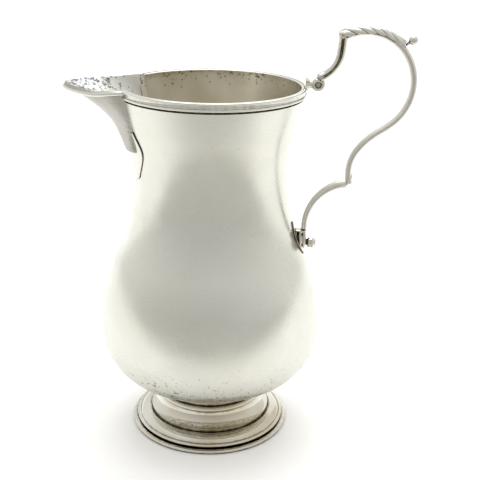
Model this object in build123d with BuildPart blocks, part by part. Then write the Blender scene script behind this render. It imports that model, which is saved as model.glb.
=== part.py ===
"""Footed pear-shaped silver pitcher with a beak spout and a leaf-capped double-scroll handle.

Millimetres. The origin is the centre of the foot's resting plane, on the axis of the vessel.
+Z is up, the spout points to -X and the handle to +X, and XZ is the plane of symmetry.
"""
import os

from build123d import *

# Driving dimensions of the vessel
RIM_HEIGHT = 100.0
BODY_WALL = 0.9
BODY_BOTTOM = 13.4
BOTTOM_FLAT = 9.1
BODY_TURNS = [(32.3, 23.4), (15.2, 62.0), (45.2, 31.7), (49.6, -42.0)]
NECK_RADIUS = 24.75
NECK_END = 97.8
RIM_WIRE = 0.7
RIM_END = 147.5

# The moulded foot, from the resting plane up
BASE_RADIUS = 22.9
BASE_HEIGHT = 1.1
SHEET = 0.9
DOME_STEP_HEIGHT = 4.0
STEM_FOOT_RADIUS = 17.3
STEM_NECK_RADIUS = 14.6
STEM_TOP = 8.9
KNOP_HEIGHT = 1.6
KNOP_RADIUS = 15.4
EDGE_WIRE_WIDTH = 2.2
REED = (21.55, 1.75)
GROOVE = (21.0, 2.35)
DOME_SHOULDER = (19.6, 3.45)
DOME_TOP_RADIUS = 17.6
DOME_HOLLOW = (18.6, 2.6)
STEM_SEAT_RADIUS = 16.2
STEM_STEP = 0.8
STEM_HOLLOW = (15.2, 6.4)
STEM_HOLLOW_INSIDE = (14.4, 6.1)
KNOP_SEAT_RADIUS = 14.7
COLLAR_INSIDE = 13.3
COLLAR_LINE = [(15.8, 15.5), (14.7, 12.2), (14.3, STEM_TOP + KNOP_HEIGHT)]

# The beak spout, as level sections: height, reach of the keel, half width, roundness of the keel
BEAK_FLOOR = 83.5
BEAK_TOP = 98.9
BEAK_WALL = 0.9
BEAK_SECTIONS = [
    (BEAK_FLOOR, 23.3, 11.8, 5.0),
    (87.0, 25.0, 12.0, 4.6),
    (90.5, 27.2, 12.3, 4.0),
    (93.5, 30.6, 12.7, 3.4),
    (96.2, 34.9, 13.0, 2.9),
    (BEAK_TOP, 40.3, 13.3, 2.4),
]
BEAK_BACK = -14.0
BEAK_ROOT = 1.57
BEAK_ARCH = 0.66
DROP_SECTIONS = [(74.6, 21.0, 2.0, 1.0), (79.0, 22.3, 7.5, 3.5), (BEAK_FLOOR, 22.9, 10.4, 4.4)]
DROP_PLATE = 0.45
DROP_FOOT = [(-11.0, 76.4), (0, 73.9), (11.0, 76.4)]
DROP_SIDE = [(11.0, 76.4), (14.2, 83.5), (12.6, 89.0)]
LIP_WIRE = 1.1

# The handle's centrelines: start, heading in degrees and turns of (radius, degrees)
ROOT_START = (28.7, 102.9)
ROOT_HEADING = 21.0
ROOT_TURNS = [(8.0, 61.0), (33.6, 8.8)]
UPPER_START = (34.0, 113.2)
UPPER_HEADING = 31.4
UPPER_TURNS = [(12.3, -85.4), (13.8, -86.4), (26.7, -7.4), (21.0, 20.8), (11.1, 53.0)]
LOWER_START = (37.0, 74.3)
LOWER_HEADING = 186.6
LOWER_TURNS = [(9.5, 12.7), (13.2, 55.7), (13.1, 17.5)]
SCROLL_THICKNESS = 1.9
SCROLL_WIDTH = 3.0
ROOT_THICKNESS = 1.9
LOWER_THICKNESS = 1.6
KNUCKLE_HEIGHT = 100.9
KNUCKLE_BALL = [(30.1, 0), (28.5, 1.9), (27.2, 1.2)]
KNUCKLE_NECK = [(27.2, 1.2), (26.6, 1.2), (24.0, 2.2)]
LEAF_BACK = [(32.6, 113.4), (33.3, 115.3), (40.5, 116.65), (47.0, 115.1), (51.3, 112.6)]
LEAF_BELLY = [(51.3, 112.6), (46.0, 113.6), (40.5, 114.9), (35.5, 113.8), (32.6, 113.4)]
LEAF_REACH = 20.0
LEAF_SIDE = [(32.0, 1.4), (36.0, 2.3), (42.0, 2.2), (52.0, 0.9)]
PLATE_THICKNESS = 0.5
PLATE_EDGE = [(0, 53.3), (2.4, 58.0), (0, 62.7)]
SOCKET_OUTLINE = [(22.0, 60.9), (26.3, 60.9), (26.9, 55.6), (22.0, 55.6)]
SOCKET_HALF_WIDTH = 1.6
BERRY_CENTRE = (28.1, 56.6)
BERRY_RADIUS = 1.6
LEAF_BEAD_CENTRE = (52.0, 113.1)
LEAF_BEAD_RADIUS = 1.25


def follow_arcs(start, heading, turns):
    """Draw arcs end to end, each tangent to the last; left turns are positive."""
    arcs = []
    point = start
    direction = tuple(Vector(1, 0).rotate(Axis.Z, heading))[:2]
    for radius, degrees in turns:
        arc = JernArc(start=point, tangent=direction, radius=radius, arc_size=degrees)
        arcs.append(arc)
        point, direction = arc @ 1, arc % 1
    return arcs


def beak_edge(reach, half_width, roundness):
    """Draw one side of the beak's lip after the other: together a pointed arch."""
    side = -half_width * BEAK_ROOT
    for hand in (1, -1):
        Bezier(
            (side, hand * half_width),
            (side - BEAK_ARCH * (reach + side), hand * half_width),
            (-reach, hand * roundness),
            (-reach, 0),
        )
    return side


def beak_section(reach, half_width, roundness):
    """One level section of the beak, closed off inside the body."""
    with BuildSketch() as section:
        with BuildLine():
            side = beak_edge(reach, half_width, roundness)
            Polyline((side, half_width), (BEAK_BACK, half_width), (BEAK_BACK, -half_width), (side, -half_width))
        make_face()
    return section.sketch


def scroll_section(thickness, width):
    """A scroll's section: flat inside and outside, with a ridge along each side."""
    with BuildSketch() as section:
        with BuildLine():
            Polyline(
                (width / 2, 0), (width / 4, thickness / 2), (-width / 4, thickness / 2),
                (-width / 2, 0), (-width / 4, -thickness / 2), (width / 4, -thickness / 2), close=True,
            )
        make_face()
    return section.sketch


def scroll(start, heading, turns, thickness, width):
    """The ridged section swept along one of the handle's centrelines."""
    with BuildPart() as swept:
        with BuildLine(Plane.XZ) as centreline:
            follow_arcs(start, heading, turns)
        line = centreline.wire()
        with BuildSketch(Plane(origin=line @ 0, x_dir=(0, 1, 0), z_dir=line % 0)):
            add(scroll_section(thickness, width))
        sweep(path=line)
    return swept.part


# The solid forms that the pieces are cut to

with BuildPart() as body_form:
    with BuildSketch(Plane.XZ):
        with BuildLine():
            wall = follow_arcs((BOTTOM_FLAT, BODY_BOTTOM), 0, BODY_TURNS)
            Polyline(wall[-1] @ 1, (NECK_RADIUS, NECK_END), (NECK_RADIUS, RIM_HEIGHT))
            Polyline((NECK_RADIUS, RIM_HEIGHT), (0, RIM_HEIGHT), (0, BODY_BOTTOM), (BOTTOM_FLAT, BODY_BOTTOM))
        make_face()
    revolve(axis=Axis.Z)

with BuildPart() as beak_form:
    for height, reach, half_width, roundness in BEAK_SECTIONS:
        with BuildSketch(Plane.XY.offset(height)):
            add(beak_section(reach, half_width, roundness))
    loft()

with BuildPart() as beak_hollow:
    for height, reach, half_width, roundness in BEAK_SECTIONS:
        raised = BEAK_WALL if height == BEAK_FLOOR else 0
        with BuildSketch(Plane.XY.offset(height + raised)):
            add(beak_section(reach - BEAK_WALL, half_width - BEAK_WALL, roundness * 0.8))
    loft()
    with BuildSketch(Plane.XY.offset(BEAK_TOP)):
        add(beak_section(BEAK_SECTIONS[-1][1] - BEAK_WALL, BEAK_SECTIONS[-1][2] - BEAK_WALL, 2))
    extrude(amount=RIM_HEIGHT - BEAK_TOP + 1)

# The vessel

with BuildPart() as body:
    add(body_form.part)
    offset(amount=-BODY_WALL, openings=body.faces().sort_by(Axis.Z)[-1])
    add(beak_hollow.part, mode=Mode.SUBTRACT)

with BuildPart() as rim_wire:
    start = Vector(1, 0).rotate(Axis.Z, -RIM_END)
    with BuildSketch(Plane(origin=(0, 0, 0), x_dir=start, z_dir=start.cross(Vector(0, 0, 1)))):
        with BuildLine():
            low, groove, top = NECK_END, RIM_HEIGHT - 1.2, RIM_HEIGHT
            root, crest, reed = NECK_RADIUS + 0.3, NECK_RADIUS + RIM_WIRE, RIM_WIRE
            ThreePointArc((root, low), (crest, low + reed / 2), (root, low + reed))
            Line((root, low + reed), (root, groove))
            ThreePointArc((root, groove), (crest, (groove + top) / 2), (root, top))
            Polyline((root, top), (NECK_RADIUS, top), (NECK_RADIUS, low), (root, low))
        make_face()
    revolve(axis=Axis.Z, revolution_arc=2 * RIM_END)

# The spout

with BuildPart() as spout_beak:
    add(beak_form.part)
    add(beak_hollow.part, mode=Mode.SUBTRACT)
    add(body_form.part, mode=Mode.SUBTRACT)

with BuildPart() as spout_lip_wire:
    with BuildLine(Plane.XY.offset(BEAK_TOP - LIP_WIRE / 2)) as lip_path:
        beak_edge(*BEAK_SECTIONS[-1][1:])
    line = lip_path.wire()
    with BuildSketch(Plane(origin=line @ 0, x_dir=(0, 0, 1), z_dir=line % 0)):
        Ellipse(LIP_WIRE / 2, 0.5)
    sweep(path=line)
    add(beak_form.part, mode=Mode.SUBTRACT)
    add(body_form.part, mode=Mode.SUBTRACT)
    add(rim_wire.part, mode=Mode.SUBTRACT)

with BuildPart() as spout_drop:
    add(body_form.part)
    offset(amount=DROP_PLATE)
    with BuildSketch(Plane.YZ.offset(-30)):
        with BuildLine():
            ThreePointArc(*DROP_FOOT)
            Spline(*DROP_SIDE)
            Spline(*[(-y, z) for y, z in DROP_SIDE])
            half_top, top = DROP_SIDE[-1]
            Line((half_top, top), (-half_top, top))
        make_face()
    extrude(amount=20, mode=Mode.INTERSECT)
    for height, reach, half_width, roundness in DROP_SECTIONS:
        with BuildSketch(Plane.XY.offset(height)):
            add(beak_section(reach, half_width, roundness))
    loft()
    add(body_form.part, mode=Mode.SUBTRACT)
    add(beak_form.part, mode=Mode.SUBTRACT)

# The foot

with BuildPart() as foot_base_wire:
    with BuildSketch(Plane.XZ):
        with BuildLine():
            inner, outer = BASE_RADIUS - EDGE_WIRE_WIDTH, BASE_RADIUS - 0.25
            ThreePointArc((outer, 0), (BASE_RADIUS, BASE_HEIGHT / 2), (outer, BASE_HEIGHT))
            Polyline((outer, BASE_HEIGHT), (inner, BASE_HEIGHT), (inner, 0), (outer, 0))
        make_face()
    revolve(axis=Axis.Z)

with BuildPart() as foot_dome:
    with BuildSketch(Plane.XZ):
        with BuildLine():
            heel, toe = (REED[0] - 1.65, BASE_HEIGHT), (REED[0] - 0.25, BASE_HEIGHT)
            brow = (GROOVE[0] - 0.25, GROOVE[1] - 0.05)
            Line(heel, toe)
            ThreePointArc(toe, REED, GROOVE)
            Line(GROOVE, brow)
            ThreePointArc(brow, DOME_SHOULDER, (DOME_TOP_RADIUS, DOME_STEP_HEIGHT))
            Line((DOME_TOP_RADIUS, DOME_STEP_HEIGHT), (STEM_SEAT_RADIUS, DOME_STEP_HEIGHT))
            Line((STEM_SEAT_RADIUS, DOME_STEP_HEIGHT), (STEM_SEAT_RADIUS, DOME_STEP_HEIGHT - SHEET))
            ThreePointArc((STEM_SEAT_RADIUS, DOME_STEP_HEIGHT - SHEET), DOME_HOLLOW, heel)
        make_face()
    revolve(axis=Axis.Z)

with BuildPart() as foot_stem:
    with BuildSketch(Plane.XZ):
        with BuildLine():
            step = DOME_STEP_HEIGHT + STEM_STEP
            neck_inside = (STEM_NECK_RADIUS - SHEET, STEM_TOP)
            Line((STEM_SEAT_RADIUS, DOME_STEP_HEIGHT), (STEM_FOOT_RADIUS, DOME_STEP_HEIGHT))
            Line((STEM_FOOT_RADIUS, DOME_STEP_HEIGHT), (STEM_FOOT_RADIUS, step))
            ThreePointArc((STEM_FOOT_RADIUS, step), STEM_HOLLOW, (STEM_NECK_RADIUS, STEM_TOP))
            Line((STEM_NECK_RADIUS, STEM_TOP), neck_inside)
            ThreePointArc(neck_inside, STEM_HOLLOW_INSIDE, (STEM_SEAT_RADIUS, DOME_STEP_HEIGHT))
        make_face()
    revolve(axis=Axis.Z)

with BuildPart() as foot_knop_wire:
    with BuildSketch(Plane.XZ):
        with BuildLine():
            seat, inside, top = KNOP_SEAT_RADIUS, COLLAR_INSIDE, STEM_TOP + KNOP_HEIGHT
            Polyline((seat, STEM_TOP), (inside, STEM_TOP), (inside, top), (seat, top))
            ThreePointArc((seat, top), (KNOP_RADIUS, STEM_TOP + KNOP_HEIGHT / 2), (seat, STEM_TOP))
        make_face()
    revolve(axis=Axis.Z)

with BuildPart() as foot_collar:
    with BuildSketch(Plane.XZ):
        with BuildLine():
            lip, shoulder = COLLAR_LINE[0], COLLAR_LINE[-1]
            Polyline(shoulder, (COLLAR_INSIDE, shoulder[1]), (COLLAR_INSIDE, lip[1]), lip)
            ThreePointArc(*COLLAR_LINE)
        make_face()
    revolve(axis=Axis.Z)
    add(body_form.part, mode=Mode.SUBTRACT)

# The handle

with BuildPart() as handle_knuckle:
    with BuildSketch(Plane.XZ):
        with BuildLine():
            neck = [(x, KNUCKLE_HEIGHT - radius) for x, radius in KNUCKLE_NECK]
            ball = [(x, KNUCKLE_HEIGHT - radius) for x, radius in KNUCKLE_BALL]
            Polyline(*neck, (neck[-1][0], KNUCKLE_HEIGHT), ball[0])
            ThreePointArc(*ball)
        make_face()
    revolve(axis=Axis((0, 0, KNUCKLE_HEIGHT), (1, 0, 0)))
    add(body_form.part, mode=Mode.SUBTRACT)
    add(rim_wire.part, mode=Mode.SUBTRACT)

with BuildPart() as handle_root_scroll:
    add(scroll(ROOT_START, ROOT_HEADING, ROOT_TURNS, ROOT_THICKNESS, SCROLL_WIDTH + 0.2))
    add(handle_knuckle.part, mode=Mode.SUBTRACT)

with BuildPart() as handle_upper_scroll:
    add(scroll(UPPER_START, UPPER_HEADING, UPPER_TURNS, SCROLL_THICKNESS, SCROLL_WIDTH))
    add(handle_root_scroll.part, mode=Mode.SUBTRACT)

with BuildPart() as handle_leaf_cap:
    with BuildSketch(Plane.XZ):
        with BuildLine():
            Spline(*LEAF_BACK)
            Spline(*LEAF_BELLY)
        make_face()
    extrude(amount=SCROLL_WIDTH, both=True)
    with BuildSketch(Plane.XY.offset(KNUCKLE_HEIGHT)):
        with BuildLine():
            near_side = [(x, -y) for x, y in LEAF_SIDE]
            Spline(*LEAF_SIDE)
            Line(LEAF_SIDE[-1], near_side[-1])
            Spline(*near_side[::-1])
            Line(near_side[0], LEAF_SIDE[0])
        make_face()
    extrude(amount=LEAF_REACH, mode=Mode.INTERSECT)
    add(handle_upper_scroll.part, mode=Mode.SUBTRACT)
    add(handle_root_scroll.part, mode=Mode.SUBTRACT)

with BuildPart() as handle_leaf_bead:
    with Locations((LEAF_BEAD_CENTRE[0], 0, LEAF_BEAD_CENTRE[1])):
        Sphere(LEAF_BEAD_RADIUS)
    add(handle_leaf_cap.part, mode=Mode.SUBTRACT)
    add(handle_upper_scroll.part, mode=Mode.SUBTRACT)

with BuildPart() as handle_lower_plate:
    add(body_form.part)
    offset(amount=PLATE_THICKNESS)
    with BuildSketch(Plane.YZ):
        with BuildLine():
            ThreePointArc(*PLATE_EDGE)
            ThreePointArc(*[(-y, z) for y, z in PLATE_EDGE])
        make_face()
    extrude(amount=RIM_HEIGHT, mode=Mode.INTERSECT)
    add(body_form.part, mode=Mode.SUBTRACT)

with BuildPart() as handle_lower_scroll:
    add(scroll(LOWER_START, LOWER_HEADING, LOWER_TURNS, LOWER_THICKNESS, SCROLL_WIDTH - 0.4))
    add(handle_upper_scroll.part, mode=Mode.SUBTRACT)

with BuildPart() as handle_lower_socket:
    with BuildSketch(Plane.XZ):
        with BuildLine():
            Polyline(*SOCKET_OUTLINE, close=True)
        make_face()
    extrude(amount=SOCKET_HALF_WIDTH, both=True)
    add(body_form.part, mode=Mode.SUBTRACT)
    add(handle_lower_plate.part, mode=Mode.SUBTRACT)
    add(handle_lower_scroll.part, mode=Mode.SUBTRACT)

with BuildPart() as handle_berry:
    with Locations((BERRY_CENTRE[0], 0, BERRY_CENTRE[1])):
        Sphere(BERRY_RADIUS)
    add(handle_lower_socket.part, mode=Mode.SUBTRACT)
    add(handle_lower_scroll.part, mode=Mode.SUBTRACT)

pieces = {
    "body": body,
    "rim_wire": rim_wire,
    "spout_beak": spout_beak,
    "spout_lip_wire": spout_lip_wire,
    "spout_drop": spout_drop,
    "foot_base_wire": foot_base_wire,
    "foot_dome": foot_dome,
    "foot_stem": foot_stem,
    "foot_knop_wire": foot_knop_wire,
    "foot_collar": foot_collar,
    "handle_knuckle": handle_knuckle,
    "handle_root_scroll": handle_root_scroll,
    "handle_upper_scroll": handle_upper_scroll,
    "handle_leaf_cap": handle_leaf_cap,
    "handle_leaf_bead": handle_leaf_bead,
    "handle_lower_plate": handle_lower_plate,
    "handle_lower_scroll": handle_lower_scroll,
    "handle_lower_socket": handle_lower_socket,
    "handle_berry": handle_berry,
}
os.makedirs("parts", exist_ok=True)
for name, piece in pieces.items():
    piece.part.label = name
    export_step(piece.part, f"parts/{name}.step")
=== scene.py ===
"""Looks of a footed silver pitcher with a beak spout and a leaf-capped double-scroll handle."""
import math

import bmesh
import bpy
from mathutils import Matrix, Vector


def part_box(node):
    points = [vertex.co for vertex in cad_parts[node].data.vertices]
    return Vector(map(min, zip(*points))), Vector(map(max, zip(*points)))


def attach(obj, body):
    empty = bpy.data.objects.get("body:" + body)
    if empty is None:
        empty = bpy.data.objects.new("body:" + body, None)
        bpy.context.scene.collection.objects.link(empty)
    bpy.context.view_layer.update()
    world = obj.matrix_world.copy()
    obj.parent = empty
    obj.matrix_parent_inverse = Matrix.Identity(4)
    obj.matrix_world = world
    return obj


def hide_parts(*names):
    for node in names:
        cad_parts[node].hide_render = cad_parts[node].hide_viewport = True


bl_info = {
    "name": "Silver Pitcher",
    "version": (1, 0, 0),
    "blender": (4, 5, 0),
    "location": "View3D > Sidebar > Pitcher",
    "description": "Models a footed silver pitcher, its pieces, its finish and a studio to see it in",
    "category": "Object",
}

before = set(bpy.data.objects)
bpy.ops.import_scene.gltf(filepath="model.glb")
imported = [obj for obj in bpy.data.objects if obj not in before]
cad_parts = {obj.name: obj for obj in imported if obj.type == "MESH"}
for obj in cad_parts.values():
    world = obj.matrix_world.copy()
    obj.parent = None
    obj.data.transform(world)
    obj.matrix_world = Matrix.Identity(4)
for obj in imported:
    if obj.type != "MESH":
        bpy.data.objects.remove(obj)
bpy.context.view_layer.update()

MM = 0.001
BODY = "root"
MICRON = 1e-6


# ---------------------------------------------------------------- properties

def millimetres(name, default, description):
    """A length that the panel shows, held in millimetres."""
    return bpy.props.FloatProperty(name=name, default=default, description=description, min=0.0)


def colour(name, value, description):
    """A colour given as an sRGB hex string and shown as a swatch."""
    return bpy.props.FloatVectorProperty(name=name, default=linear(value), size=4, min=0, max=1,
                                         subtype="COLOR", description=description)


def linear(value):
    """Turn an sRGB hex string into linear red, green, blue and alpha."""
    channels = [int(value[i:i + 2], 16) / 255 for i in (1, 3, 5)]
    return tuple([c / 12.92 if c <= 0.04045 else ((c + 0.055) / 1.055) ** 2.4 for c in channels] + [1.0])


def top_of(node):
    """Height of a CAD node's top, in millimetres."""
    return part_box(node)[1].z / MM


def foot_of(node):
    """Height of a CAD node's underside, in millimetres."""
    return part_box(node)[0].z / MM


class PitcherVessel(bpy.types.PropertyGroup):
    """Sizes of the raised body, its lip and its beak, in millimetres."""
    rim_height: millimetres("Rim height", top_of("body"), "Height of the rim above the table")
    bottom: millimetres("Bottom", foot_of("body"), "Height of the body's underside")
    flat: millimetres("Flat", 9.1, "Radius of the flat middle of the underside")
    neck_radius: millimetres("Neck radius", 24.75, "Outer radius at the lip")
    neck_end: millimetres("Neck end", 97.8, "Height where the neck turns upright")
    wall: millimetres("Wall", 0.9, "Thickness of the raised sheet")
    rim_end: bpy.props.FloatProperty(name="Rim end", default=147.5,
                                     description="Angle from the handle where the rim wire ends, in degrees")
    unevenness: millimetres("Unevenness", 0.045, "Depth of the planishing's soft waves")


class PitcherHandle(bpy.types.PropertyGroup):
    """Sizes of the cast handle, in millimetres."""
    thickness: millimetres("Thickness", 1.95, "In-plane thickness of the upper scroll")
    width: millimetres("Width", 3.0, "Width of the scrolls across the handle")
    knuckle_height: millimetres("Knuckle height", 100.9, "Height of the knuckle's axis at the rim")


class PitcherFinish(bpy.types.PropertyGroup):
    """Colours of the silver, of its tarnish and painted shade, and of the floor."""
    silver: colour("Silver", "#dcdcd5", "Polished sterling silver")
    silver_warm: colour("Warm silver", "#d0cebf", "Silver under a thin yellow tarnish")
    # Brown tarnish; the seam occlusion also paints it into the hollows as painted shade
    tarnish: colour("Tarnish", "#6f5f47", "Brown tarnish where polish doesn't reach")
    # Black grime and painted shade, which the seam occlusion paints into the deepest seams
    grime_and_painted_shade: colour("Grime", "#15100c", "Black tarnish and old polish in the seams")
    floor: colour("Floor", "#fbfbfa", "Pale studio floor")
    # Grey painted on the floor in front of the pitcher: painted shade for the silver to reflect
    floor_front_painted_shade: colour("Front of floor", "#acaba7", "Studio floor in front of the pitcher")


# ---------------------------------------------------------------- lines

def point(x, y, z):
    """A point given in millimetres, as a vector in metres."""
    return Vector((x, y, z)) * MM


def walk(start, heading, turns, step=3.0):
    """Points and headings along arcs laid end to end, each tangent to the last; left turns are positive."""
    x, z = start
    angle = math.radians(heading)
    path = [(x, z, angle)]
    for radius, degrees in turns:
        side = 1 if degrees > 0 else -1
        centre_x, centre_z = x - side * radius * math.sin(angle), z + side * radius * math.cos(angle)
        count = max(2, round(abs(degrees) / step))
        first = angle
        for i in range(1, count + 1):
            angle = first + math.radians(degrees) * i / count
            x, z = centre_x + side * radius * math.sin(angle), centre_z - side * radius * math.cos(angle)
            path.append((x, z, angle))
    return path


def arc(start, through, end, count=10):
    """Points on the circle from start through a middle point to end, without start itself."""
    (ax, ay), (bx, by), (cx, cy) = start, through, end
    twice = 2 * (ax * (by - cy) + bx * (cy - ay) + cx * (ay - by))
    a2, b2, c2 = ax * ax + ay * ay, bx * bx + by * by, cx * cx + cy * cy
    ux = (a2 * (by - cy) + b2 * (cy - ay) + c2 * (ay - by)) / twice
    uy = (a2 * (cx - bx) + b2 * (ax - cx) + c2 * (bx - ax)) / twice
    radius = math.hypot(ax - ux, ay - uy)
    first = math.atan2(ay - uy, ax - ux)
    turn = (math.atan2(cy - uy, cx - ux) - first) % (2 * math.pi)
    if (math.atan2(by - uy, bx - ux) - first) % (2 * math.pi) > turn:
        turn -= 2 * math.pi
    angles = [first + turn * i / count for i in range(1, count + 1)]
    return [(ux + radius * math.cos(angle), uy + radius * math.sin(angle)) for angle in angles]


def between(table, key):
    """The row of a table at any key, on a smooth curve through its rows."""
    rows = [table[0], *table, table[-1]]
    last = len(rows) - 3
    i = next((i for i in range(1, last + 1) if key <= rows[i + 1][0]), last)
    before, low, high, after = rows[i - 1:i + 3]
    span = high[0] - low[0]
    t = (key - low[0]) / span
    row = []
    for k in range(1, len(low)):
        slope_low = (high[k] - before[k]) / (high[0] - before[0]) * span
        slope_high = (after[k] - low[k]) / (after[0] - low[0]) * span
        row.append((2 * t ** 3 - 3 * t ** 2 + 1) * low[k] + (t ** 3 - 2 * t ** 2 + t) * slope_low
                   + (3 * t ** 2 - 2 * t ** 3) * high[k] + (t ** 3 - t ** 2) * slope_high)
    return row


# ---------------------------------------------------------------- bench tools

def start_piece(name):
    """An empty mesh under its own name, by itself and in edit mode."""
    bpy.ops.object.select_all(action="DESELECT")
    bpy.ops.mesh.primitive_plane_add(size=MM)
    piece = bpy.context.object
    piece.name = piece.data.name = name
    bpy.ops.object.mode_set(mode="EDIT")
    bpy.ops.mesh.delete(type="VERT")
    return piece


def draw_line(spots):
    """Draw a line of edges through the spots by extruding a single vertex."""
    bpy.ops.mesh.select_all(action="DESELECT")
    bpy.ops.mesh.primitive_plane_add(size=MM, location=spots[0])
    bpy.ops.mesh.merge(type="CENTER")
    for here, there in zip(spots, spots[1:]):
        bpy.ops.mesh.extrude_region_move(TRANSFORM_OT_translate={"value": there - here})


def close_piece(piece, fill=True):
    """Weld seams and poles, fill what is open, turn the faces outwards and leave edit mode."""
    bpy.ops.mesh.select_all(action="SELECT")
    bpy.ops.mesh.remove_doubles(threshold=2 * MICRON)
    if fill:
        bpy.ops.mesh.select_all(action="SELECT")
        bpy.ops.mesh.fill_holes(sides=0)
    bpy.ops.mesh.select_all(action="SELECT")
    bpy.ops.mesh.normals_make_consistent(inside=False)
    bpy.ops.object.mode_set(mode="OBJECT")
    return piece


def lathe(name, outline, steps=160, turn=360.0, first=0.0):
    """Turn an outline of (radius, height) points, in millimetres, clockwise about the vessel's axis."""
    piece = start_piece(name)
    ray = Vector((math.cos(math.radians(first)), math.sin(math.radians(first)), 0))
    draw_line([(ray * r + Vector((0, 0, z))) * MM for r, z in outline])
    bpy.ops.mesh.select_all(action="SELECT")
    bpy.ops.mesh.spin(steps=steps, angle=math.radians(turn), center=(0, 0, 0), axis=(0, 0, 1))
    return close_piece(piece, fill=turn < 360)


def loft(name, lines, cuts=0, fill=True):
    """Bridge lines of points, in millimetres; a line that ends on its first point is a closed ring."""
    piece = start_piece(name)
    for line in lines:
        draw_line([point(*spot) for spot in line])
    bpy.ops.mesh.select_all(action="SELECT")
    bpy.ops.mesh.remove_doubles(threshold=2 * MICRON)
    bpy.ops.mesh.select_all(action="SELECT")
    bpy.ops.mesh.bridge_edge_loops(number_cuts=cuts, interpolation="SURFACE")
    return close_piece(piece, fill)


def turn_selection(degrees, axis, centre):
    """Turn what is selected about an axis through a centre given in millimetres."""
    bpy.ops.transform.rotate(value=math.radians(degrees), orient_axis=axis, center_override=point(*centre))


def cast_along(name, path, thickness, width, grow):
    """Extrude a section with a channel down each side along a path, growing it by grow(share)."""
    piece = start_piece(name)
    channel, channel_from = 0.62, 0.48
    x, z, angle = path[0]
    centre = (x, 0, z)
    bpy.ops.mesh.primitive_circle_add(vertices=16, radius=width / 2 * MM, fill_type="NGON",
                                      location=point(*centre))
    mesh = bmesh.from_edit_mesh(piece.data)
    for vertex in mesh.verts:
        if abs(vertex.co.y) > channel_from * width * MM:
            vertex.co.y *= channel
    bmesh.update_edit_mesh(piece.data)
    flatten = thickness / width
    bpy.ops.transform.resize(value=(flatten * grow(0), grow(0), 1), center_override=point(*centre))
    turn_selection(math.degrees(angle) - 90, "Y", centre)
    for i in range(1, len(path)):
        (x1, z1, a1), (x2, z2, a2) = path[i - 1], path[i]
        bpy.ops.mesh.extrude_region_move(TRANSFORM_OT_translate={"value": point(x2 - x1, 0, z2 - z1)})
        turn_selection(math.degrees(a2 - a1), "Y", (x2, 0, z2))
        change = grow(i / (len(path) - 1)) / grow((i - 1) / (len(path) - 1))
        bpy.ops.transform.resize(value=(change, change, change), center_override=point(x2, 0, z2))
    return close_piece(piece)


def add_lump(centre, size, pitch=0.0, yaw=0.0, segments=20):
    """Add a rounded lump of metal to the mesh being edited, sized, turned and placed in millimetres."""
    bpy.ops.mesh.select_all(action="DESELECT")
    bpy.ops.mesh.primitive_uv_sphere_add(segments=segments, ring_count=segments // 2, radius=0.5 * MM,
                                         location=point(*centre))
    bpy.ops.transform.resize(value=size, center_override=point(*centre))
    turn_selection(yaw, "Z", centre)
    turn_selection(pitch, "Y", centre)


def apply_modifier(piece, kind, **settings):
    """Add one modifier with its settings and apply it."""
    bpy.ops.object.select_all(action="DESELECT")
    bpy.context.view_layer.objects.active = piece
    piece.select_set(True)
    modifier = piece.modifiers.new(kind.title(), kind)
    for key, value in settings.items():
        setattr(modifier, key, value)
    bpy.ops.object.modifier_apply(modifier=modifier.name)


def soften(piece, width, segments=2, angle=30):
    """Round the edges that are sharper than the angle."""
    apply_modifier(piece, "BEVEL", width=width * MM, segments=segments, limit_method="ANGLE",
                   angle_limit=math.radians(angle), use_clamp_overlap=True)


def fuse(piece, grain=0.12, passes=4):
    """Melt overlapping lumps into one casting, with soft hollows between them."""
    apply_modifier(piece, "REMESH", mode="VOXEL", voxel_size=grain * MM)
    apply_modifier(piece, "SMOOTH", factor=0.5, iterations=passes)


def thicken(piece, thickness, side=-1):
    """Give a sheet its thickness, behind its faces (side -1) or in front of them (side 1)."""
    apply_modifier(piece, "SOLIDIFY", thickness=thickness * MM, offset=side, use_even_offset=True)
    bpy.ops.object.mode_set(mode="EDIT")
    close_piece(piece, fill=False)


def cut(piece, cutter, operation="DIFFERENCE"):
    """Cut the piece with another closed piece, which is used up."""
    apply_modifier(piece, "BOOLEAN", operation=operation, solver="EXACT", object=cutter)
    bpy.data.objects.remove(cutter, do_unlink=True)


def finish_piece(piece, node, material=None, angle=40):
    """Shade the piece, give it its finish and fix it to the pitcher in place of its CAD node."""
    if not piece.data.polygons:
        raise RuntimeError(f"{piece.name} has no faces")
    bpy.ops.object.select_all(action="DESELECT")
    bpy.context.view_layer.objects.active = piece
    piece.select_set(True)
    bpy.ops.object.shade_smooth_by_angle(angle=math.radians(angle))
    if material:
        piece.data.materials.clear()
        piece.data.materials.append(material)
    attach(piece, BODY)
    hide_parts(node)


# ---------------------------------------------------------------- shapes of the vessel

# Arcs of the body's outline from the flat of its underside up: radius and turn in degrees
BODY_TURNS = [(32.3, 23.4), (15.2, 62.0), (45.2, 31.7), (49.6, -42.0)]
BODY_MIDDLE = point(0, 0, 55)

# Level sections of the beak: height, reach, half width, roundness of the keel
BEAK = [
    (83.5, 23.3, 11.8, 5.0), (87.0, 25.0, 12.0, 4.6), (90.5, 27.2, 12.3, 4.0),
    (93.5, 30.6, 12.7, 3.4), (96.2, 34.9, 13.0, 2.9), (98.9, 40.3, 13.3, 2.4),
]
BEAK_TOP = BEAK[-1][0]
BEAK_ROOT = 1.57    # how far behind the widest place its sides end, in half widths
BEAK_FULL = 0.66    # how far its sides run straight on before they turn in to the keel
BEAK_BACK = -14.0   # x of the back of its hollow
LIP_RISE = 0.95     # how much higher the lip is where it meets the rim
LIP_RISE_X = (-31.0, -20.9)  # x where the lip starts to rise and where it's full
LIP_RISE_FROM = 96.0         # height below which the sheet doesn't follow it


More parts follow.
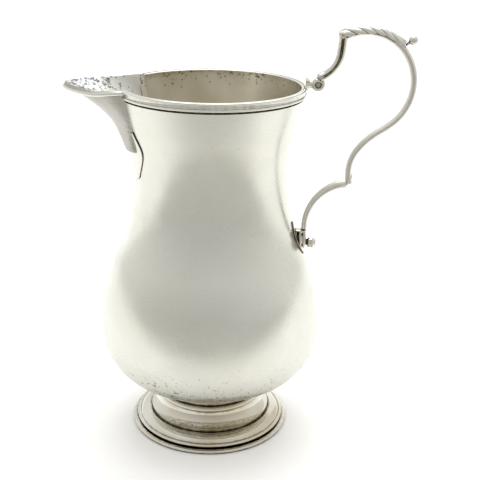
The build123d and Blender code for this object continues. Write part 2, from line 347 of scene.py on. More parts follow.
def body_outline(vessel):
    """The outside of the body from the middle of its underside up to its neck."""
    side = [(x, z) for x, z, _ in walk((vessel.flat, vessel.bottom), 0, BODY_TURNS, 1.8)]
    # A scored line under the rim wire, which the seam occlusion paints black: painted shade with grime
    line_low, line_bottom = vessel.neck_end - 0.6, vessel.neck_radius - 0.55
    rise = [(vessel.neck_radius, line_low), (line_bottom, line_low + 0.05), (line_bottom, vessel.neck_end),
            (vessel.neck_radius, vessel.neck_end)]
    return [(0, vessel.bottom), (vessel.flat / 2, vessel.bottom)] + side + rise


def body_radius(vessel, height):
    """Outer radius of the body at a height."""
    outline = body_outline(vessel)
    for (r1, z1), (r2, z2) in zip(outline, outline[1:]):
        if z1 < z2 and z1 <= height <= z2:
            return r1 + (r2 - r1) * (height - z1) / (z2 - z1)
    return vessel.neck_radius


def body_inside(vessel):
    """The outline of the hollow: the wall's thickness in from the outside, along each point's normal."""
    outline = [spot for spot in body_outline(vessel) if spot[1] < vessel.neck_end - 1]
    outline.append((vessel.neck_radius, vessel.neck_end))
    moved = []
    for i, (r, z) in enumerate(outline):
        r1, z1 = outline[max(i - 1, 0)]
        r2, z2 = outline[min(i + 1, len(outline) - 1)]
        length = math.hypot(r2 - r1, z2 - z1)
        moved.append((max(0.0, r - vessel.wall * (z2 - z1) / length), z + vessel.wall * (r2 - r1) / length))
    moved[0] = (0.0, vessel.bottom + vessel.wall)
    return moved


def beak_point(share, reach, half_width, roundness):
    """A point of a level section of the beak, from one side (0) over the keel (0.5) to the other (1)."""
    hand = 1 if share < 0.5 else -1
    t = 2 * share if share < 0.5 else 2 - 2 * share
    side = -half_width * BEAK_ROOT
    full = side - BEAK_FULL * (reach + side)
    knots = [(side, half_width), (full, half_width), (-reach, roundness), (-reach, 0)]
    weights = [(1 - t) ** 3, 3 * t * (1 - t) ** 2, 3 * t * t * (1 - t), t ** 3]
    x = sum(weight * knot[0] for weight, knot in zip(weights, knots))
    return x, hand * sum(weight * knot[1] for weight, knot in zip(weights, knots))


def lip_rise(x):
    """How far the beak's lip sweeps up to meet the rim, at a distance from the axis."""
    start, end = LIP_RISE_X
    share = min(max((x - start) / (end - start), 0), 1)
    return LIP_RISE * share * share * (3 - 2 * share)


def beak_line(height, reach, half_width, roundness, count=36):
    """The section of the beak at a height, as a line of points; near the lip its ends sweep up."""
    sweep = max(height - LIP_RISE_FROM, 0) / (BEAK_TOP - LIP_RISE_FROM)
    line = []
    for i in range(count + 1):
        x, y = beak_point(i / count, reach, half_width, roundness)
        line.append((x, y, height + lip_rise(x) * sweep))
    return line


# ---------------------------------------------------------------- materials

def add_node(tree, kind, settings=None, links=None):
    """Add a shader node, set its properties and sockets, and link its sockets to other nodes' outputs."""
    node = tree.nodes.new(kind)
    for key, value in (settings or {}).items():
        if isinstance(key, str) and hasattr(node, key):
            setattr(node, key, value)
        else:
            node.inputs[key].default_value = value
    for key, source in (links or {}).items():
        tree.links.new(source, node.inputs[key])
    return node


def remap(tree, value, low, high, first=0.0, last=1.0, **settings):
    """Turn values from low to high into values from first to last."""
    ranges = {"From Min": low, "From Max": high, "To Min": first, "To Max": last}
    return add_node(tree, "ShaderNodeMapRange", {**settings, **ranges}, {"Value": value}).outputs["Result"]


def blend(tree, cover, under, over):
    """Lay a colour over another where the cover is 1; under may be a colour or a node's output."""
    settings, links = {"data_type": "RGBA", 7: over}, {0: cover}
    (links if isinstance(under, bpy.types.NodeSocket) else settings)[6] = under
    return add_node(tree, "ShaderNodeMix", settings, links).outputs[2]


def noise(tree, place, size, **settings):
    """A noise pattern with grains of a size in millimetres."""
    settings["Scale"] = 1 / (size * MM)
    return add_node(tree, "ShaderNodeTexNoise", settings, {"Vector": place}).outputs["Fac"]


def silver(name, base, warm, roughness, hammer, seam, stain, scratch, pits=None, pit_colour=None):
    """Sterling silver with a worn gloss, hammer facets, scratches, tarnish and painted shade in its seams,
    and tarnish in its pits.

    In millimetres, hammer is the facets' width and depth, seam the reach of the tarnish and painted shade in
    the seams, scratch the depth of the scratches, and pits an axis and the places along it where pits begin
    and are thick.
    stain is how much of the yellow tarnish covers the silver, from 0 to 1.
    """
    colours = bpy.context.scene.pitcher_finish
    material = bpy.data.materials.new(name)
    material.use_nodes = True
    tree = material.node_tree
    tree.nodes.clear()
    place = add_node(tree, "ShaderNodeTexCoord").outputs["Object"]
    # Clouds of thin yellow tarnish, about 25 mm across
    veil = remap(tree, noise(tree, place, 25, Detail=3.0), 0.35, 0.7, 0.0, stain)
    tint = blend(tree, veil, base, warm)
    # Streaks and specks that break up the tarnish and painted shade in the seams, 1 to 2 mm, drawn out up
    # and down
    drawn = add_node(tree, "ShaderNodeMapping", {"Scale": (1, 1, 0.4)}, {"Vector": place}).outputs["Vector"]
    specks = noise(tree, drawn, 1.4, Detail=5.0)
    # Where pieces meet, and in the chasing, the occlusion paints the silver brown to black: tarnish where
    # polish doesn't reach, and painted shade
    nook = add_node(tree, "ShaderNodeAmbientOcclusion", {"samples": 12, "Distance": seam * MM})
    tarnish_and_shade_mask = add_node(tree, "ShaderNodeMath", {"operation": "MULTIPLY_ADD", 1: 0.5},
                       {0: specks, 2: nook.outputs["AO"]}).outputs[0]
    tint = blend(tree, remap(tree, tarnish_and_shade_mask, 0.85, 1.12, 0.85, 0.0), tint, colours.tarnish)
    tint = blend(tree, remap(tree, tarnish_and_shade_mask, 0.68, 0.88, 1.0, 0.0), tint, colours.grime_and_painted_shade)
    if pits:
        # Pits of tarnish, 0.3 to 0.8 mm, thick at one end and gone at the other
        axis, clean, thick = pits
        axes = add_node(tree, "ShaderNodeSeparateXYZ", links={"Vector": place})
        spread = remap(tree, axes.outputs[axis], clean * MM, thick * MM, 0.0, 0.22)
        grains = noise(tree, place, 1.1, Detail=4.0, Roughness=0.65)
        depth = add_node(tree, "ShaderNodeMath", {"operation": "ADD"}, {0: grains, 1: spread}).outputs[0]
        tint = blend(tree, remap(tree, depth, 0.68, 0.78, 0.0, 0.9), tint, linear(pit_colour))
    # Worn gloss: patches of finer and coarser polish, about 8 mm across
    gloss = remap(tree, noise(tree, place, 8, Detail=6.0), 0.3, 0.7, roughness * 0.8, roughness * 1.25)
    # Hammer facets under the fine scratches of polishing, drawn at 0.4 mm so that they show
    width, beaten_depth = hammer
    facets = add_node(tree, "ShaderNodeTexVoronoi", {"feature": "SMOOTH_F1", "Scale": 1 / (width * MM),
                                                     "Smoothness": 1.0}, {"Vector": place})
    beaten = add_node(tree, "ShaderNodeBump", {"Strength": 1.0, "Distance": beaten_depth * MM},
                      {"Height": facets.outputs["Distance"]})
    scratched = add_node(tree, "ShaderNodeBump", {"Strength": 1.0, "Distance": scratch * MM},
                         {"Height": noise(tree, place, 0.4, Detail=4.0), "Normal": beaten.outputs["Normal"]})
    shader = add_node(tree, "ShaderNodeBsdfPrincipled", {"Metallic": 1.0},
                      {"Base Color": tint, "Roughness": gloss, "Normal": scratched.outputs["Normal"]})
    add_node(tree, "ShaderNodeOutputMaterial", links={"Surface": shader.outputs["BSDF"]})
    return material


def finishes():
    """The pitcher's finishes by name, each made once."""
    colours = bpy.context.scene.pitcher_finish
    bright, warm = tuple(colours.silver), tuple(colours.silver_warm)
    kinds = {
        # Raised and planished sheet, hand polished for years: a satin sheen, specked low down by the foot
        "planished_silver": dict(
            base=bright, warm=warm, roughness=0.27, hammer=(4.0, 0.014), seam=0.8, stain=0.4, scratch=0.0022,
            pits=(2, 32, 14), pit_colour="#77726a"),
        # The inside, which polish seldom reaches: dull, yellow, with brown pits under the lip
        "inside_silver": dict(
            base=linear("#dedacc"), warm=linear("#b3a88c"), roughness=0.34, hammer=(3.0, 0.02), seam=1.6,
            stain=0.9, scratch=0.004, pits=(2, 93, 103), pit_colour="#4a3a26"),
        # Hammered and filed sheet of the beak: grey, dull and rough
        "filed_silver": dict(
            base=linear("#cfcec8"), warm=linear("#a3a09a"), roughness=0.36, hammer=(0.8, 0.07), seam=0.35,
            stain=1.0, scratch=0.012),
        # Inside of the beak: pale, with blue-black sulphide towards its tip
        "beak_inside_silver": dict(
            base=bright, warm=warm, roughness=0.3, hammer=(1.5, 0.03), seam=0.6, stain=0.3, scratch=0.004,
            pits=(0, -19, -33), pit_colour="#3c4258"),
        # Drawn wire, bright where hands and cloths rub it
        "drawn_wire_silver": dict(
            base=bright, warm=warm, roughness=0.15, hammer=(6.0, 0.004), seam=0.7, stain=0.2, scratch=0.001),
        # Turned mouldings of the foot: bright on the beads, brown to black in the hollows from tarnish and
        # painted shade
        "turned_silver": dict(
            base=bright, warm=linear("#b9ab8e"), roughness=0.12, hammer=(5.0, 0.008), seam=1.5, stain=0.8,
            scratch=0.0015),
        # Sand-cast scrolls: soft, grainy and brownish where hands don't rub them
        "cast_silver": dict(
            base=linear("#a8a49b"), warm=linear("#665b49"), roughness=0.24, hammer=(1.0, 0.04), seam=1.0,
            stain=1.0, scratch=0.006),
        # Chased leaf, knuckle and socket: bright on the crests, dark in the flutes with tarnish and painted
        # shade
        "chased_silver": dict(
            base=bright, warm=linear("#a1947c"), roughness=0.2, hammer=(1.0, 0.02), seam=1.3, stain=0.6,
            scratch=0.003),
    }
    return {name: bpy.data.materials.get(name) or silver(name, **kind) for name, kind in kinds.items()}


# ---------------------------------------------------------------- operators: vessel

class PITCHER_OT_body(bpy.types.Operator):
    """Raise the pear-shaped body, with its wall and the notch behind the beak"""
    bl_idname = "pitcher.body"
    bl_label = "Body"

    def execute(self, context):
        vessel = context.scene.pitcher_vessel
        outer, inner, top = vessel.neck_radius, vessel.neck_radius - vessel.wall, vessel.rim_height
        shoulder = top - 0.3
        edge = [(outer, shoulder)]
        edge += arc(edge[0], (outer - vessel.wall / 2, top), (inner, shoulder), 6)
        piece = lathe("pitcher_body", body_outline(vessel) + edge + body_inside(vessel)[::-1], 180)
        waves = bpy.data.textures.new("planishing_waves", "CLOUDS")
        waves.noise_scale = 13 * MM
        apply_modifier(piece, "DISPLACE", texture=waves, texture_coords="LOCAL", mid_level=0.5,
                       strength=2 * vessel.unevenness * MM)
        cut(piece, self.notch_cutter(vessel))
        materials = finishes()
        piece.data.materials.append(materials["planished_silver"])
        piece.data.materials.append(materials["inside_silver"])
        for face in piece.data.polygons:
            face.material_index = 1 if face.normal.dot(face.center - BODY_MIDDLE) < 0 else 0
        finish_piece(piece, "body", angle=30)
        return {"FINISHED"}

    @staticmethod
    def notch_cutter(vessel):
        """A closed block with the outline of the beak's hollow, reaching up through the rim."""
        rings = []
        for height, reach, half_width, roundness in BEAK:
            half_width -= vessel.wall
            line = beak_line(height + vessel.wall, reach, half_width, roundness, 12)
            level = line[0][2]
            rings.append(line + [(BEAK_BACK, -half_width, level), (BEAK_BACK, half_width, level), line[0]])
        lid = [(x, y, vessel.rim_height + 1) for x, y, _ in rings[-1]]
        return loft("notch_cutter", rings + [lid])


class PITCHER_OT_rim(bpy.types.Operator):
    """Draw the reeded wire round the lip, open at the beak"""
    bl_idname = "pitcher.rim"
    bl_label = "Rim wire"

    def execute(self, context):
        vessel = context.scene.pitcher_vessel
        low, top = vessel.neck_end, vessel.rim_height
        inner, channel, outer = [vessel.neck_radius + proud for proud in (-0.05, 0.3, 0.7)]
        lower_reed = (low + 0.15, low + 0.4, low + 0.65)
        upper_reed = (top - 0.65, top - 0.3, top)
        outline = [(inner, low), (outer - 0.25, low)]
        outline += arc(outline[-1], (outer, lower_reed[1]), (channel, lower_reed[2]), 8)
        outline += arc(outline[-1], (channel - 0.08, (low + top) / 2 + 0.1), (channel, upper_reed[0]), 6)
        outline += arc(outline[-1], (outer, upper_reed[1]), (channel, upper_reed[2]), 10)
        outline += [(inner, top), (inner, low)]
        piece = lathe("reeded_rim_wire", outline, 150, 2 * vessel.rim_end, vessel.rim_end)
        finish_piece(piece, "rim_wire", finishes()["drawn_wire_silver"])
        return {"FINISHED"}


class PITCHER_OT_spout(bpy.types.Operator):
    """Fold the beak, edge it with wire and set the drop below it"""
    bl_idname = "pitcher.spout"
    bl_label = "Spout"

    def execute(self, context):
        vessel = context.scene.pitcher_vessel
        materials = finishes()
        self.beak(vessel)
        self.lip_wire(materials["drawn_wire_silver"])
        self.drop(vessel, materials["planished_silver"])
        return {"FINISHED"}

    @staticmethod
    def beak(vessel):
        """Bend the sheet of the beak and close its lower end with a floor."""
        overlap, levels, low = 0.5, 22, BEAK[0][0]
        lines = []
        for level in range(levels + 1):
            height = low + (BEAK_TOP - low) * level / levels
            line = beak_line(height, *between(BEAK, height))
            ends = [(x + overlap, y, z) for x, y, z in (line[0], line[-1])]
            lines.append(ends[:1] + line + ends[1:])
        piece = loft("beak_spout", lines, fill=False)
        thicken(piece, vessel.wall, 1)
        height, reach, half_width, roundness = BEAK[0]
        line = [(x, y) for x, y, _ in beak_line(height, reach, half_width, roundness, 24)]
        inset, clearance, eye_lift = 0.1, 0.05, 4
        radius = math.hypot(*line[0]) - inset
        span = math.atan2(half_width, -line[0][0])
        turns = [span * share for share in (1, 0.6, 0.2, -0.2, -0.6, -1)]
        floor = line + [(-radius * math.cos(turn), -radius * math.sin(turn)) for turn in turns] + [line[0]]
        faces = (height + clearance, height + vessel.wall)
        slab = loft("beak_floor", [[(x, y, z) for x, y in floor] for z in faces])
        cut(piece, slab, "UNION")
        soften(piece, 0.12, 2, 50)
        for name in ("filed_silver", "beak_inside_silver"):
            piece.data.materials.append(finishes()[name])
        for face in piece.data.polygons:
            middle = point(BEAK_BACK, 0, face.center.z / MM + eye_lift)
            face.material_index = 1 if face.normal.dot(face.center - middle) < 0 else 0
        finish_piece(piece, "spout_beak", angle=35)

    @staticmethod
    def lip_wire(material):
        """Lay an oval wire along the beak's lip, half of it proud of the sheet."""
        half_high, out, count, sides, near = 0.55, 0.45, 72, 10, 0.004
        rings = []
        for i in range(count + 1):
            share = i / count
            x, y = beak_point(share, *BEAK[-1][1:])
            x1, y1 = beak_point(max(share - near, 0), *BEAK[-1][1:])
            x2, y2 = beak_point(min(share + near, 1), *BEAK[-1][1:])
            across = Vector((y2 - y1, x1 - x2)).normalized()
            ring = []
            for side in range(sides + 1):
                turn = 2 * math.pi * (side % sides) / sides
                shift = out * math.cos(turn)
                ring.append((x + across.x * shift, y + across.y * shift,
                             BEAK_TOP + lip_rise(x) + half_high * (math.sin(turn) - 1)))
            rings.append(ring)
        piece = loft("beak_lip_wire", rings)
        finish_piece(piece, "spout_lip_wire", material, 50)

    @staticmethod
    def drop(vessel, material):
        """Beat a shield over the body below the beak, with a keel that runs up into the beak."""
        plate, foot, top, edge_sweep = 0.3, 73.9, 88.9, 2.5
        rows, columns = 16, 28
        # Share of its height and half width there; then height, and the keel's depth and spread there
        half_widths = [(0.0, 11.0), (0.5, 14.2), (1.0, 12.6)]
        keels = [(foot, 0.0, 2.0), (76.5, 0.2, 3.0), (78.9, 0.55, 5.0), (80.4, 0.9, 6.0), (83.4, 1.1, 8.0),
                 (top, 1.0, 9.0)]
        lines = []
        for row in range(rows + 1):
            up = row / rows
            line = []
            for column in range(columns + 1):
                y = (2 * column / columns - 1) * between(half_widths, up)[0]
                edge = foot + edge_sweep * (y / half_widths[0][1]) ** 2
                height = edge + (top - edge) * up
                keel, spread = between(keels, height)
                radius = body_radius(vessel, height) + plate + keel * math.exp(-(y / spread) ** 2)
                line.append((-math.sqrt(radius ** 2 - y ** 2), y, height))
            lines.append(line)
        piece = loft("beak_drop", lines, fill=False)
        thicken(piece, plate)
        soften(piece, 0.12)
        finish_piece(piece, "spout_drop", material, 40)


# ---------------------------------------------------------------- operators: foot

class PITCHER_OT_foot(bpy.types.Operator):
    """Turn the moulded foot: edge wire, stepped dome, stem, knop wire and collar"""
    bl_idname = "pitcher.foot"
    bl_label = "Foot"

    def execute(self, context):
        for name, node, outline in self.outlines():
            finish_piece(lathe(name, outline, 180), node, finishes()["turned_silver"], 35)
        return {"FINISHED"}

    @staticmethod
    def outlines():
        """Each piece's name, CAD node and closed section, from the table up."""
        base, step, stem_top, knop, edge = 1.1, 4.0, 8.9, 1.6, 22.9
        wire = [(edge - 2.2, 0), (edge - 0.3, 0)]
        wire += arc(wire[-1], (edge, base / 2), (edge - 0.35, base - 0.02), 8)
        wire += [(edge - 1.9, base), (edge - 2.2, base), wire[0]]
        dome = [(19.9, base), (21.0, base + 0.02), (21.0, base + 0.25)]
        dome += arc(dome[-1], (21.6, 1.8), (20.95, 2.35), 10) + [(20.7, 2.28)]
        dome += arc(dome[-1], (19.6, 3.45), (17.9, step - 0.05), 14)
        dome += [(17.5, step - 0.15), (16.2, step - 0.1)]
        dome += [(16.2, step - 0.9)] + arc((16.2, step - 0.9), (18.6, 2.6), (19.9, base), 10)
        stem = [(16.2, step - 0.1), (17.3, step - 0.1), (17.3, step + 0.75), (17.0, step + 0.85)]
        stem += arc(stem[-1], (15.2, 6.4), (14.5, stem_top - 0.3), 16) + [(14.3, stem_top)]
        stem += [(13.7, stem_top)] + arc((13.7, stem_top), (14.4, 6.1), (16.2, step - 0.1), 12)
        ring = [(13.3, stem_top), (14.6, stem_top)]
        ring += arc(ring[-1], (15.4, stem_top + knop / 2), (14.6, stem_top + knop), 12)
        ring += [(13.3, stem_top + knop), (13.3, stem_top)]
        collar = [(13.4, 10.5), (14.3, 10.5)] + arc((14.3, 10.5), (14.65, 12.2), (15.5, 14.2), 12)
        collar += [(13.4, 14.0), (13.4, 10.5)]
        return [
            ("foot_edge_wire", "foot_base_wire", wire), ("foot_stepped_dome", "foot_dome", dome),
            ("foot_cavetto_stem", "foot_stem", stem), ("foot_knop_ring", "foot_knop_wire", ring),
            ("foot_top_collar", "foot_collar", collar),
        ]


# ---------------------------------------------------------------- operators: handle

# Middle lines of the scrolls: start (x, z), heading in degrees, and arcs as radius and turn
ROOT_LINE = ((28.7, 102.9), 21.0, [(8.0, 61.0), (33.6, 8.8)])
UPPER_LINE = ((34.0, 113.2), 31.4, [(12.3, -85.4), (13.8, -86.4), (26.7, -7.4), (21.0, 20.8), (11.1, 53.0)])
LOWER_LINE = ((37.0, 74.3), 186.6, [(9.5, 12.7), (13.2, 55.7), (13.1, 17.5)])
# The top of the leaf: share of its length, x and z
LEAF_CREST = [
    (0.0, 32.7, 114.9), (0.15, 35.4, 116.1), (0.4, 39.8, 116.7), (0.6, 43.4, 116.4), (0.75, 46.0, 115.5),
    (1.0, 50.4, 113.1),
]


class PITCHER_OT_scrolls(bpy.types.Operator):
    """Cast the three scrolls of the handle, with a channel along their sides"""
    bl_idname = "pitcher.scrolls"
    bl_label = "Scrolls"

    def execute(self, context):
        handle = context.scene.pitcher_handle
        cast, chased = finishes()["cast_silver"], finishes()["chased_silver"]
        width = handle.width
        # Name, CAD node, middle line, width, sizes along the line, and the lump that ends it: its centre,
        # size and pitch
        scrolls = [
            ("root_scroll", "handle_root_scroll", ROOT_LINE, width, [(0, 1.3), (0.4, 1.05), (1, 1.3)],
             ((29.0, 0, 103.1), (2.9, 2.9, 2.3), 20)),
            ("upper_scroll", "handle_upper_scroll", UPPER_LINE, width, [(0, 1.0), (0.6, 0.95), (1, 0.95)],
             ((37.9, 0, 75.4), (1.0, 2.4, 3.4), -22)),
            ("lower_scroll", "handle_lower_scroll", LOWER_LINE, 0.9 * width,
             [(0, 1.3), (0.5, 1.0), (1, 0.85)], ((36.2, 0, 73.9), (2.6, 2.8, 1.9), 10)),
        ]
        for name, node, line, across, sizes, lump in scrolls:
            path = walk(*line)
            piece = cast_along(name, path, handle.thickness, across, lambda share: between(sizes, share)[0])
            bpy.ops.object.mode_set(mode="EDIT")
            add_lump(*lump)
            close_piece(piece, fill=False)
            fuse(piece, 0.09, 1)
            finish_piece(piece, node, chased if name == "root_scroll" else cast, 40)
        return {"FINISHED"}


class PITCHER_OT_leaf(bpy.types.Operator):
    """Chase the lobed leaf over the upper scroll and set the bead at its tip"""
    bl_idname = "pitcher.leaf"
    bl_label = "Leaf"

    def execute(self, context):
        chased = finishes()["chased_silver"]
        leaf = loft("lobed_leaf", self.sections())
        finish_piece(leaf, "handle_leaf_cap", chased, 40)
        low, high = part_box("handle_leaf_bead")
        bead = start_piece("leaf_bead")
        middle = (low + high) / 2 / MM
        add_lump(middle, (2.5, 2.5, 2.5), segments=32)
        add_lump((middle.x - 1.3, 0, middle.z - 0.9), (1.4, 0.9, 0.8), 35)
        close_piece(bead, fill=False)
        fuse(bead, 0.1, 1)
        finish_piece(bead, "handle_leaf_bead", chased)
        return {"FINISHED"}

    def sections(self):
        """Closed sections of the leaf along its crest: a fluted arch over a plain lining."""
        rows, columns, lining_columns = 120, 44, 11
        lines = []
        for row in range(rows + 1):
            share = row / rows
            outer = [self.arch_point(share, 2 * i / columns - 1, True) for i in range(columns + 1)]
            spots = [1 - 2 * i / lining_columns for i in range(lining_columns + 1)]
            lining = [self.arch_point(share, side, False) for side in spots]
            lines.append(outer + lining + outer[:1])
        return lines

    @staticmethod
    def arch_point(share, side, fluted):
        """A point at a share of the crest, from one edge of the leaf (side -1) to the other (side 1)."""
        half_width, height, narrowing, lining = 2.2, 1.85, 0.35, 0.6
        flutes, slant, depth, sharpness = 6, 1.5, 0.2, 0.6
        lap, lobe = 92.0, 16.0  # degrees from the crest down to the edge, and how much lower the lobes hang
        nose, nose_length = 0.8, 0.06
        (x, z), (ahead_x, ahead_z) = between(LEAF_CREST, share), between(LEAF_CREST, share + 0.01)
        pitch = math.atan2(ahead_z - z, ahead_x - x)
        taper = (1 - narrowing * share) * (nose + (1 - nose) * min(share / nose_length, 1))
        if fluted:
            ridge = abs(math.sin(math.pi * (share * flutes - slant * abs(side)))) ** sharpness
            bend = math.radians(lap + lobe * ridge) * side
            size = taper * (1 - depth * (1 - ridge) * min(0.25 + abs(side), 1))
        else:
            bend, size = math.radians(lap) * side, taper * lining
        down = height * (taper - size * math.cos(bend))
        return x + down * math.sin(pitch), half_width * size * math.sin(bend), z - down * math.cos(pitch)


class PITCHER_OT_joints(bpy.types.Operator):
    """Make the knuckle at the rim, and the plate, socket and berry where the handle ends"""
    bl_idname = "pitcher.joints"
    bl_label = "Handle joints"

    def execute(self, context):
        vessel = context.scene.pitcher_vessel
        chased = finishes()["chased_silver"]
        pieces = [
            (self.knuckle(context.scene.pitcher_handle.knuckle_height), "handle_knuckle"),
            (self.plate(vessel), "handle_lower_plate"), (self.socket(), "handle_lower_socket"),
            (self.berry(), "handle_berry"),
        ]
        for piece, node in pieces:
            finish_piece(piece, node, chased, 50)
        return {"FINISHED"}

    @staticmethod
    def knuckle(height):
        """A curled volute with a dark eye, on a flared neck that is soldered to the rim."""
        outline = [(0, 24.9), (2.1, 24.9), (1.6, 25.4), (1.05, 26.1), (1.0, 27.2), (0, 27.2)]
        eye_x, curl, wire, widen = 28.2, 1.25, 0.6, 1.9
        piece = lathe("rim_knuckle", outline, 48)
        bpy.ops.object.mode_set(mode="EDIT")
        bpy.ops.mesh.select_all(action="SELECT")
        turn_selection(-90, "Y", (0, 0, 0))
        bpy.ops.transform.translate(value=point(0, 0, height))
        eye = point(eye_x, 0, height)
        bpy.ops.mesh.primitive_torus_add(location=eye, rotation=(math.radians(90), 0, 0), major_segments=40,
                                         minor_segments=16, major_radius=curl * MM, minor_radius=wire * MM)
        bpy.ops.transform.resize(value=(1, widen, 1), center_override=eye)
        add_lump((eye_x, 0, height), (2.0, 0.9, 2.0))
        add_lump((eye_x + 1.0, 0, height + 1.3), (1.4, 1.6, 0.9), 35)
        close_piece(piece, fill=False)
        fuse(piece, 0.1, 1)
        return piece

    @staticmethod
    def plate(vessel):
        """An almond-shaped plate wrapped on the body."""
        low, high, half, lift, fullness, point_width = 53.4, 62.6, 2.4, 0.45, 0.85, 0.04
        rows, columns = 14, 8
        lines = []
        for row in range(rows + 1):
            share = row / rows
            wide = max(point_width, half * math.sin(math.pi * share) ** fullness)
            height = low + (high - low) * share
            radius = body_radius(vessel, height) + lift
            spots = [wide * (2 * column / columns - 1) for column in range(columns + 1)]
            lines.append([(math.sqrt(radius ** 2 - y ** 2), y, height) for y in spots])
        piece = loft("solder_plate", lines, fill=False)
        thicken(piece, lift)
        soften(piece, 0.12)
        return piece

    @staticmethod
    def socket():
        """A fluted block between the plate and the scroll, with a collar and a knob on top."""
        piece = start_piece("fluted_socket")
        # Centres and sizes of the ribs, then of the core, foot and collar, then of the knobs on top
        ribs = ((23.9, 1.15), (25.1, 1.3), (26.2, 1.05))
        lumps = [((x, hand * y, 57.6), (1.15, 0.95, 5.0)) for hand in (1, -1) for x, y in ribs]
        lumps += [((25.0, 0, 57.6), (3.2, 2.2, 4.4)), ((25.0, 0, 55.9), (3.4, 2.8, 0.8)),
                  ((24.9, 0, 60.1), (3.9, 3.0, 0.85))]
        lumps += [((25.2, hand * 1.05, 59.9), (1.1, 1.0, 1.1)) for hand in (-1, 1)]
        for centre, size in lumps:
            add_lump(centre, size)
        close_piece(piece, fill=False)
        fuse(piece, 0.12, 2)
        return piece

    @staticmethod
    def berry():
        """A round berry of small seeds round a core."""
        low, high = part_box("handle_berry")
        radius = (high.y - low.y) / 2 / MM
        centre = Vector((high.x / MM - radius, 0, (low.z + high.z) / 2 / MM))
        piece = start_piece("berry_terminal")
        core, seed = radius * 1.7, radius * 0.62
        add_lump(centre, (core, core, core), segments=32)
        for ring, count in ((-62, 5), (-22, 8), (20, 8), (62, 5)):
            for i in range(count):
                turn = 2 * math.pi * (i + ring % 2 / 2) / count
                reach = radius - seed / 2
                tilt = math.radians(ring)
                flat = math.cos(tilt)
                way = Vector((math.sin(tilt), flat * math.cos(turn), flat * math.sin(turn)))
                add_lump(centre + way * reach, (seed, seed, seed), segments=14)
        close_piece(piece, fill=False)
        fuse(piece, 0.1, 1)
        return piece


# ---------------------------------------------------------------- stage

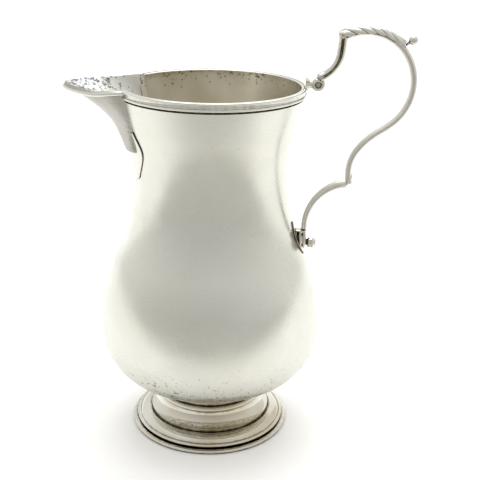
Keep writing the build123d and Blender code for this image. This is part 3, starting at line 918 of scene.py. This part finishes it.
class PITCHER_OT_stage(bpy.types.Operator):
    """Lay the pale floor, hang the soft lights and set the camera"""
    bl_idname = "pitcher.stage"
    bl_label = "Stage"

    def execute(self, context):
        scene = context.scene
        bpy.ops.object.select_all(action="DESELECT")
        bpy.ops.mesh.primitive_plane_add(size=14)
        floor = bpy.context.object
        floor.name = "floor"
        floor.data.materials.append(self.paper(scene.pitcher_finish))
        self.lights(scene)
        self.camera(scene)
        scene.view_settings.view_transform = "Standard"
        return {"FINISHED"}

    @staticmethod
    def paper(finish):
        """Graduated background paper, white under the pitcher and with a pale grey painted shade in front of
        it for the silver to reflect; it also glows faintly as painted light.
        """
        material = bpy.data.materials.new("background_paper")
        material.use_nodes = True
        tree = material.node_tree
        shader = tree.nodes["Principled BSDF"]
        place = add_node(tree, "ShaderNodeTexCoord").outputs["Object"]
        reach = add_node(tree, "ShaderNodeVectorMath", {"operation": "DISTANCE", 1: (-0.37, 3.0, 0)},
                         {0: place}).outputs["Value"]
        # Painted shade: the floor turns grey in front of the pitcher, for the silver to reflect
        fade = remap(tree, reach, 3.17, 3.07, interpolation_type="SMOOTHSTEP")
        shade = blend(tree, fade, finish.floor_front_painted_shade, finish.floor)
        bump = add_node(tree, "ShaderNodeBump", {"Strength": 0.05, "Distance": 0.1 * MM},
                        {"Height": noise(tree, place, 1.1, Detail=3.0)})
        shader.inputs["Roughness"].default_value = 0.9
        # A faint glow in the floor's own colour: painted light that lifts the pitcher's shadow off the floor
        shader.inputs["Emission Color"].default_value = finish.floor
        shader.inputs["Emission Strength"].default_value = 0.12
        tree.links.new(shade, shader.inputs["Base Color"])
        tree.links.new(bump.outputs["Normal"], shader.inputs["Normal"])
        return material

    @staticmethod
    def lights(scene):
        """A tent of white cloth, darker on the near side, with a soft box above and one behind."""
        world = bpy.data.worlds.new("light_tent")
        world.use_nodes = True
        tree = world.node_tree
        background = tree.nodes["Background"]
        way = add_node(tree, "ShaderNodeTexCoord").outputs["Generated"]
        lean = add_node(tree, "ShaderNodeVectorMath", {"operation": "DOT_PRODUCT", 1: (0, 0.8, 0.6)},
                        {0: way}).outputs["Value"]
        background.inputs["Color"].default_value = linear("#fffefb")
        tree.links.new(remap(tree, lean, -0.8, 0.3, 0.58, 0.93), background.inputs["Strength"])
        scene.world = world
        # name, place, size, power
        boxes = [("soft_box_top", (0.0, 0.6, 1.6), 1.4, 14.0), ("soft_box_back", (0.3, 1.5, 0.5), 1.0, 1.0)]
        for name, place, size, power in boxes:
            bpy.ops.object.select_all(action="DESELECT")
            bpy.ops.object.light_add(type="AREA", location=place)
            lamp = bpy.context.object
            lamp.name = name
            lamp.data.size = size
            lamp.data.energy = power
            lamp.rotation_euler = (Vector((0, 0, 0.05)) - Vector(place)).to_track_quat("-Z", "Y").to_euler()

    @staticmethod
    def camera(scene):
        """Stand the camera to the right of the handle's plane, looking a little down."""
        turn, distance, height = 7.0, 0.24365, 0.14545
        yaw, pitch, roll, focal_px, frame_px, sensor = 1.933, 20.17, 1.055, 917.15, 480, 36.0
        bpy.ops.object.select_all(action="DESELECT")
        bpy.ops.object.camera_add()
        camera = bpy.context.object
        camera.data.sensor_width = sensor
        camera.data.lens = focal_px / frame_px * sensor
        camera.data.clip_start = 0.01
        camera.matrix_world = (
            Matrix.Rotation(math.radians(turn), 4, "Z") @ Matrix.Translation((0, -distance, height))
            @ Matrix.Rotation(math.radians(-yaw), 4, "Z") @ Matrix.Rotation(math.radians(90 - pitch), 4, "X")
            @ Matrix.Rotation(math.radians(roll), 4, "Z"))
        scene.camera = camera


class PITCHER_PT_panel(bpy.types.Panel):
    """The pitcher's sizes, finish and pieces in the 3D view's sidebar"""
    bl_label = "Pitcher"
    bl_idname = "PITCHER_PT_panel"
    bl_space_type = "VIEW_3D"
    bl_region_type = "UI"
    bl_category = "Pitcher"

    def draw(self, context):
        for name, group in GROUPS.items():
            for key in group.__annotations__:
                self.layout.prop(getattr(context.scene, name), key)
        for operator in OPERATORS:
            self.layout.operator(operator.bl_idname)


OPERATORS = [PITCHER_OT_stage, PITCHER_OT_body, PITCHER_OT_rim, PITCHER_OT_spout, PITCHER_OT_foot,
             PITCHER_OT_scrolls, PITCHER_OT_leaf, PITCHER_OT_joints]
GROUPS = {"pitcher_vessel": PitcherVessel, "pitcher_handle": PitcherHandle, "pitcher_finish": PitcherFinish}


def register():
    """Register the classes and hang the property groups on the scene."""
    for cls in [*GROUPS.values(), *OPERATORS, PITCHER_PT_panel]:
        bpy.utils.register_class(cls)
    for name, group in GROUPS.items():
        setattr(bpy.types.Scene, name, bpy.props.PointerProperty(type=group))


def unregister():
    """Take the property groups and the classes away again."""
    for name in GROUPS:
        delattr(bpy.types.Scene, name)
    for cls in reversed([*GROUPS.values(), *OPERATORS, PITCHER_PT_panel]):
        bpy.utils.unregister_class(cls)


def main():
    """Build every piece."""
    register()
    bpy.ops.object.select_all(action="DESELECT")
    for operator in OPERATORS:
        group, name = operator.bl_idname.split(".")
        getattr(getattr(bpy.ops, group), name)()


if __name__ == "__main__":
    main()
